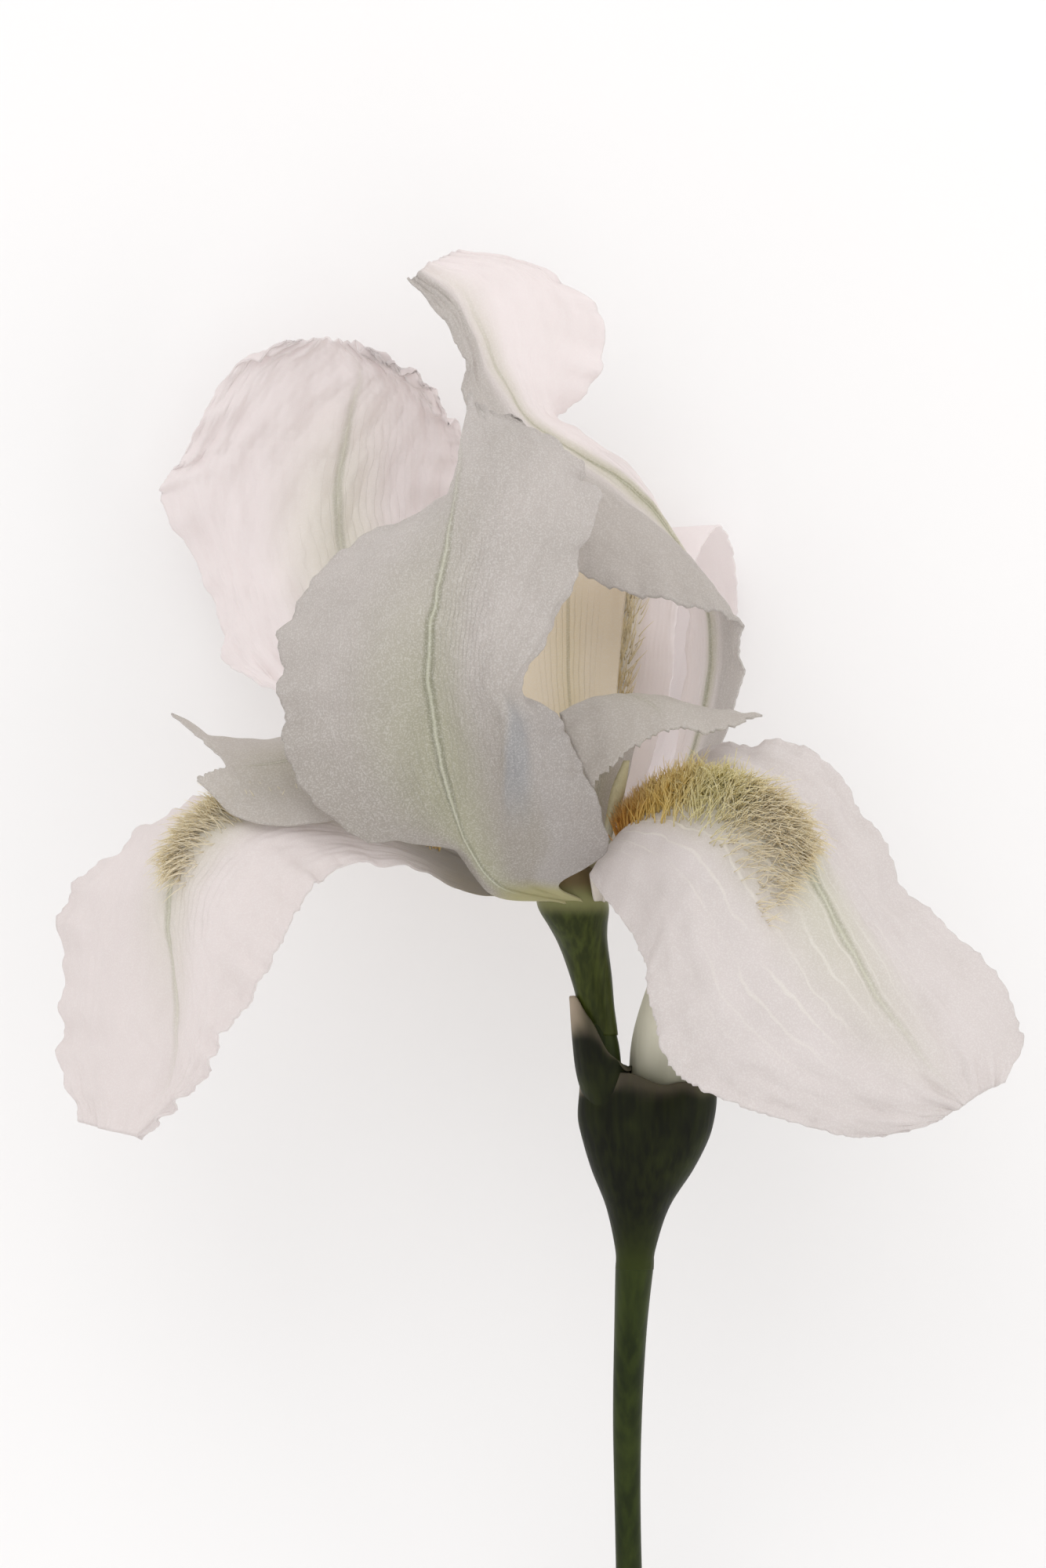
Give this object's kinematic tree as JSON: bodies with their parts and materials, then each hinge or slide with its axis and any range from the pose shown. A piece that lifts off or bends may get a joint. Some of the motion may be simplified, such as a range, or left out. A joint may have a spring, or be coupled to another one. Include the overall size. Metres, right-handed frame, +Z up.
{
  "type": "white bearded iris flower",
  "caption": "Cut bearded iris lying on its back: upright standards, hanging falls with bearded hafts, style arms, a sheathed bud and a round green stem.",
  "frame": {"origin": "On the table under the middle of the flower's bounding box.", "axes": "+Z is up from the table, towards the front of the flower. +Y runs from the cut end of the stem to the top of the petals. +X is to the right of someone who looks down on it."},
  "size_m": [0.1232, 0.2356, 0.0849],
  "materials": {
    "petal": "thin white petal, satin, lets light through",
    "petal_shaded": "thin grey-white petal, satin with a fine glitter",
    "crest": "cream-white, satin",
    "beard": "soft hairs, orange to yellow to white",
    "stamen": "matt cream",
    "stalk_green": "smooth dark green skin",
    "sheath_green": "dark green leaf with a papery margin",
    "bud_cream": "cream, green at the foot"
  },
  "bodies": {
    "root": {"stem": "stalk_green", "spathe_outer": "sheath_green", "spathe_inner": "sheath_green", "bud": "bud_cream", "ovary": "stalk_green", "perianth_tube": "stalk_green", "standard_front": "petal_shaded", "standard_back_left": "petal", "standard_back_right": "petal", "fall_right": "petal_shaded", "fall_left": "petal", "fall_back": "petal", "beard_right": "beard", "beard_left": "beard", "beard_back": "beard", "style_arm_right": "crest", "style_arm_left": "crest", "style_arm_back": "crest", "stamen_right": "stamen", "stamen_left": "stamen", "stamen_back": "stamen"}
  },
  "joints": []
}
